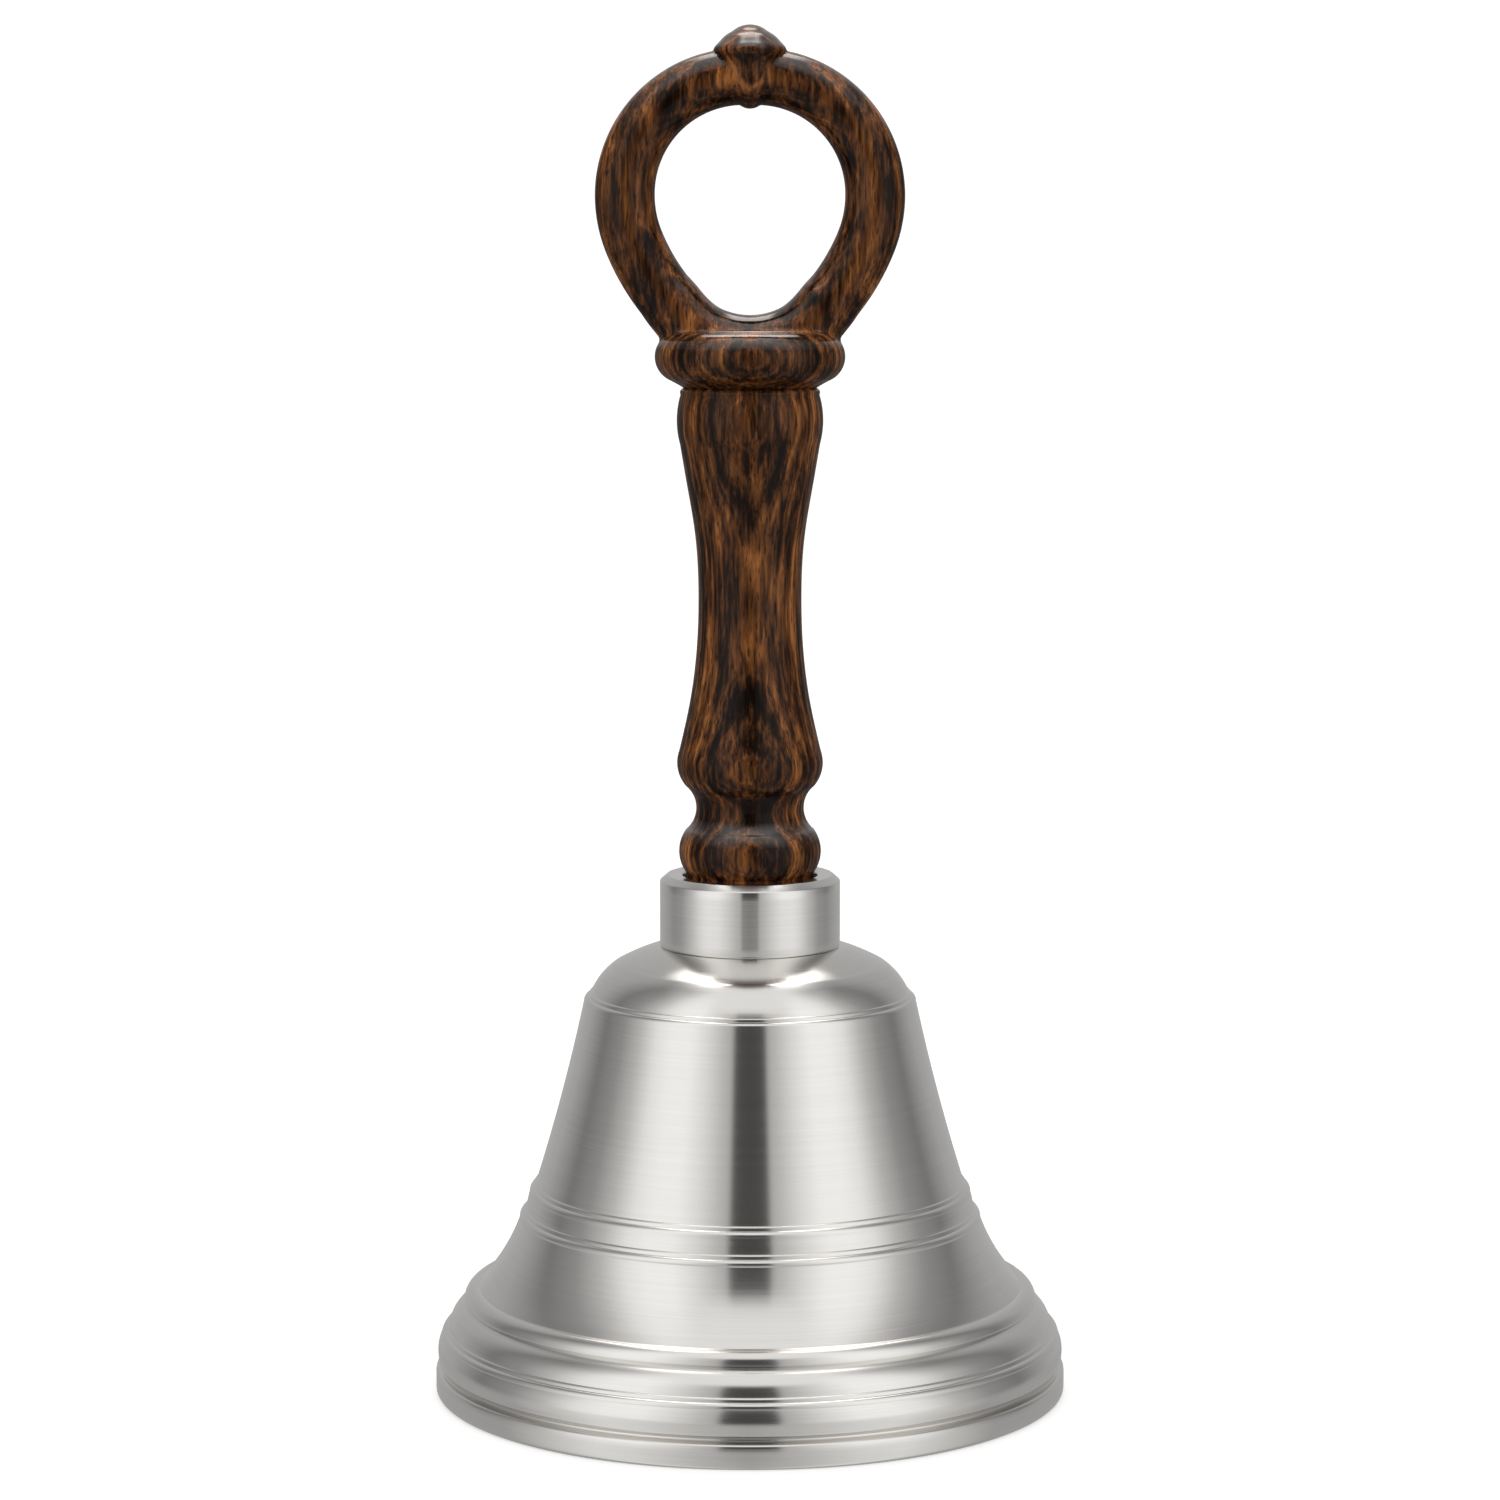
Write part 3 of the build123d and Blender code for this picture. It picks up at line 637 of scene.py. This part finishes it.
def surface_net(field, low, high, cell):
    """Meshes the zero surface of a field: one vertex in each cell that it crosses, then
    each vertex is drawn onto the surface along the field's slope."""
    axes = [np.arange(low[i], high[i] + cell, cell) for i in range(3)]
    grid = np.stack(np.meshgrid(*axes, indexing="ij"), -1)
    value = field(grid)
    solid = value < 0
    shape = np.array(value.shape) - 1
    corners = [(i, j, k) for i in (0, 1) for j in (0, 1) for k in (0, 1)]
    count = np.zeros(shape, int)
    for i, j, k in corners:
        count += solid[i:shape[0] + i, j:shape[1] + j, k:shape[2] + k]
    active = (count > 0) & (count < 8)
    index = -np.ones(shape, int)
    index[active] = np.arange(active.sum())
    cells = np.argwhere(active)
    total = np.zeros((len(cells), 3))
    weight = np.zeros(len(cells))
    for a in corners:
        for axis in range(3):
            if a[axis]:
                continue
            b = list(a)
            b[axis] = 1
            pa, pb = cells + a, cells + b
            va = value[pa[:, 0], pa[:, 1], pa[:, 2]]
            vb = value[pb[:, 0], pb[:, 1], pb[:, 2]]
            cut = (va < 0) != (vb < 0)
            t = np.where(cut, va / np.where(cut, va - vb, 1), 0)
            total += np.where(cut[:, None], pa + t[:, None] * (pb - pa), 0)
            weight += cut
    points = np.array(low) + total / weight[:, None] * cell
    for _ in range(4):
        slope = np.zeros_like(points)
        here = field(points)
        for axis in range(3):
            shift = np.zeros(3)
            shift[axis] = 0.03
            slope[:, axis] = (field(points + shift) - field(points - shift)) / 0.06
        size = np.maximum((slope**2).sum(1), 0.05)
        points -= np.clip(here / size, -0.2, 0.2)[:, None] * slope
    faces = []
    for axis in range(3):
        u, v = (axis + 1) % 3, (axis + 2) % 3
        start = [slice(None)] * 3
        end = [slice(None)] * 3
        start[axis], end[axis] = slice(0, -1), slice(1, None)
        crossing = solid[tuple(start)] != solid[tuple(end)]
        for edge in np.argwhere(crossing):
            if edge[u] == 0 or edge[v] == 0 or edge[u] > shape[u] - 1 or edge[v] > shape[v] - 1:
                continue
            quad = []
            for du, dv in ((1, 1), (0, 1), (0, 0), (1, 0)):
                at = edge.copy()
                at[u] -= du
                at[v] -= dv
                quad.append(int(index[tuple(at)]))
            if not solid[tuple(edge)]:
                quad.reverse()
            faces.append(quad)
    return points, faces


def make_ring_head(material):
    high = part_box("ring_head")[1]
    side = high[0] / MM + 0.8
    depth = high[1] / MM + 0.8
    joint = top_of("grip")
    points, faces = surface_net(
        ring_head_field(), (-side, -depth, joint - 1.0), (side, depth, high[2] / MM + 0.8), CELL)
    points[:, 2] = np.clip(points[:, 2], joint, high[2] / MM)
    piece = add_mesh("ring_head_carved", points * MM, faces, material)
    settle(piece, "bell", "dark_wood", "ring_head")


# ---- Studio ---------------------------------------------------------------------------
FLOOR_HALF = 1.6            # metres


def make_floor():
    half = FLOOR_HALF
    mesh = bpy.data.meshes.new("floor")
    mesh.from_pydata([(-half, -half, 0), (half, -half, 0), (half, half, 0), (-half, half, 0)],
                     [], [(0, 1, 2, 3)])
    floor = bpy.data.objects.new("floor", mesh)
    bpy.context.scene.collection.objects.link(floor)
    material, nodes, shader = new_material("pale_floor")
    shader.inputs["Base Color"].default_value = (0.92, 0.92, 0.92, 1.0)
    shader.inputs["Roughness"].default_value = 0.9
    shader.inputs["Specular IOR Level"].default_value = 0.0
    shader.inputs["Emission Color"].default_value = (1.0, 1.0, 1.0, 1.0)
    shader.inputs["Emission Strength"].default_value = 0.4
    # the floor is clear when it is looked at from below, so the inside of the bell shows
    from_below = nodes.add("ShaderNodeNewGeometry").outputs["Backfacing"]
    clear = nodes.add("ShaderNodeBsdfTransparent").outputs[0]
    surface = nodes.add("ShaderNodeMixShader")
    nodes.feed(surface.inputs[0], from_below)
    nodes.feed(surface.inputs[1], shader.outputs[0])
    nodes.feed(surface.inputs[2], clear)
    output = material.node_tree.nodes["Material Output"]
    nodes.feed(output.inputs["Surface"], surface.outputs[0])
    mesh.materials.append(material)
    floor.visible_glossy = False
    floor.visible_diffuse = False


def make_surround():
    """A soft white surround, as a light for each direction, with a narrow dark gap on the
    camera's side: the setting that polished metal is photographed in."""
    world = bpy.data.worlds.new("studio")
    bpy.context.scene.world = world
    world.use_nodes = True
    nodes = Nodes(world.node_tree)
    background = world.node_tree.nodes["Background"]
    direction = nodes.add("ShaderNodeTexCoord").outputs["Generated"]
    split = nodes.add("ShaderNodeSeparateXYZ", inputs={"Vector": direction})
    x, y, z = split.outputs[0], split.outputs[1], split.outputs[2]
    sideways = nodes.math("ABSOLUTE", x)
    # turn about the axis as a share: 0 on the camera's side, 1 behind the bell
    turn = nodes.math("ARCTAN2", sideways, nodes.math("MULTIPLY", y, -1.0))
    share = nodes.math("DIVIDE", turn, math.pi)
    # grey levels by that share: the dark gap, the bright sides, the dim back
    around = nodes.ramp(share, [
        (0.0, 0.06), (0.057, 0.065), (0.063, 0.48), (0.095, 0.54), (0.158, 0.8), (0.224, 1.0),
        (0.3, 1.0), (0.364, 0.88), (0.442, 0.52), (0.528, 0.29), (0.632, 0.19), (0.7, 0.3),
        (0.77, 0.38), (1.0, 0.45)])
    # below the horizon the metal sees the pale floor
    floor_light = nodes.ramp(share, [
        (0.0, 0.4), (0.1, 0.5), (0.23, 0.72), (0.32, 0.78), (0.42, 0.6), (0.55, 0.36),
        (1.0, 0.36)])
    ground = nodes.ramp(nodes.math("ADD", z, 1.0), [(0.78, 1.0), (0.92, 0.0)])
    light = nodes.mix(ground, around, floor_light)
    # a soft box overhead, tipped a little towards the camera's side, weaker to both sides
    tipped = nodes.math("ADD", nodes.math("MULTIPLY", y, -0.17), nodes.math("MULTIPLY", z, 0.985))
    overhead = nodes.ramp(tipped, [(0.745, 0.0), (0.845, 1.0)])
    reach = nodes.ramp(sideways, [(0.24, 1.0), (0.44, 0.25)])
    light = nodes.mix(nodes.math("MULTIPLY", overhead, reach), light, (0.84, 0.84, 0.84, 1.0))
    # its bright part, behind the point straight above
    behind = nodes.ramp(y, [(0.16, 0.0), (0.24, 1.0), (0.62, 1.0), (0.68, 0.0)])
    up = nodes.ramp(z, [(0.66, 0.0), (0.72, 1.0)])
    side = nodes.ramp(sideways, [(0.22, 1.0), (0.32, 0.0)])
    hot = nodes.math("MULTIPLY", nodes.math("MULTIPLY", behind, up), side)
    light = nodes.mix(hot, light, (2.6, 2.5, 2.42, 1.0))
    ray = nodes.add("ShaderNodeLightPath").outputs
    # little light comes up from below onto matt surfaces
    low = nodes.math("MULTIPLY", ground, ray["Is Diffuse Ray"])
    light = nodes.mix(low, light, (0.1, 0.1, 0.1, 1.0))
    # the background itself is white
    light = nodes.mix(ray["Is Camera Ray"], light, (1.0, 1.0, 1.0, 1.0))
    nodes.feed(background.inputs["Color"], light)
    background.inputs["Strength"].default_value = 1.1
    bpy.context.scene.view_settings.view_transform = "Standard"


# ---- Assembly -------------------------------------------------------------------------
def dress_frame(materials):
    """Gives each carried-over CAD node the material of its slot in the record."""
    for part in frame["record"]["subparts"]:
        node = frame["nodes"][part["node"]]
        material = materials[part["material_slot"]]
        node.data.materials.clear()
        node.data.materials.append(material)


make_camera()
make_floor()
make_surround()
materials = {
    "bell_metal": turned_metal("bell_metal", (0.80, 0.782, 0.755), 0.16, 0.65, 0.004),
    "dark_wood": dark_wood("dark_wood"),
    "plated_steel": plain_metal("plated_steel", (0.62, 0.62, 0.6), 0.28),
    "spring_steel": plain_metal("spring_steel", (0.1, 0.1, 0.105), 0.4),
    "clapper_metal": plain_metal("clapper_metal", (0.72, 0.71, 0.69), 0.16),
    "brass": plain_metal("brass", (0.78, 0.57, 0.26), 0.25),
    "leather": leather("leather"),
}
dress_frame(materials)
make_shell(materials["bell_metal"])
make_collar(materials["bell_metal"])
make_grip(materials["dark_wood"])
make_ring_head(materials["dark_wood"])
